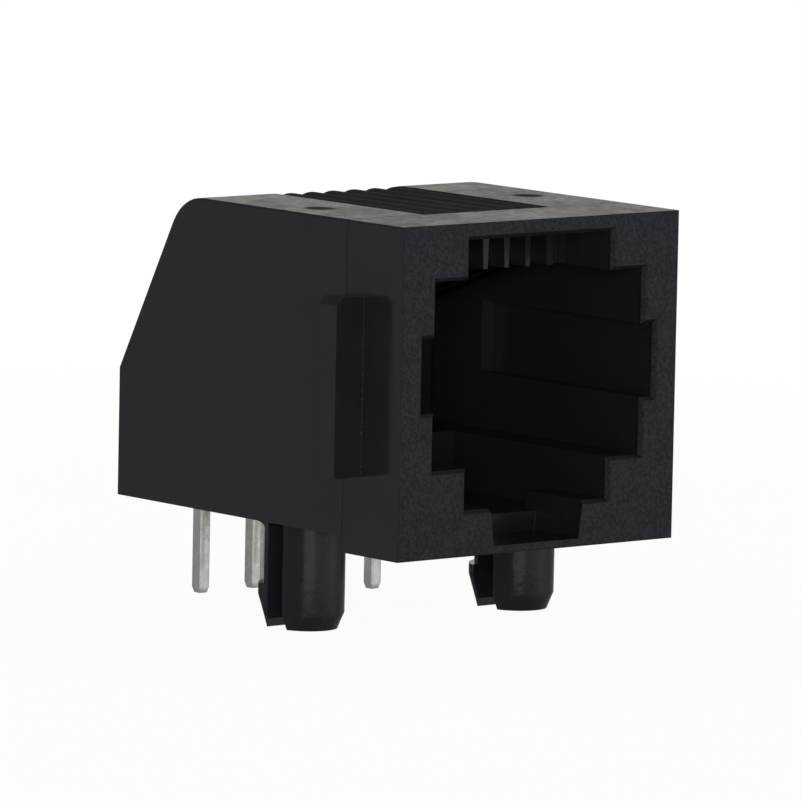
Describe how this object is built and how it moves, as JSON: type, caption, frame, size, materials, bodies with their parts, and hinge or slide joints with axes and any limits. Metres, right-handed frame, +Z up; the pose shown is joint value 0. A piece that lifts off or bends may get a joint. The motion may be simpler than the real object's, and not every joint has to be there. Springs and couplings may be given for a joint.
{
  "type": "board mounted modular jack",
  "caption": "Black right-angle modular telephone jack for a circuit board, with a stepped plug opening, latch slot, panel stops, split snap-in pegs and staggered solder tails.",
  "frame": {"origin": "on the board's top face, midway between the two pegs", "axes": "+X to the right seen from the plug side, +Y from the plug side to the back, +Z up from the board"},
  "size_m": [0.0158, 0.0168, 0.0157],
  "materials": {
    "housing": "black moulded plastic, fine texture on the front, smooth sides",
    "contact_carrier": "black moulded plastic, satin",
    "contact": "plated copper alloy wire, tinned tails and gold springs"
  },
  "bodies": {
    "root": {"housing": "housing", "contact_carrier": "contact_carrier", "contact_1": "contact", "contact_2": "contact", "contact_3": "contact", "contact_4": "contact", "contact_5": "contact", "contact_6": "contact"}
  },
  "joints": []
}
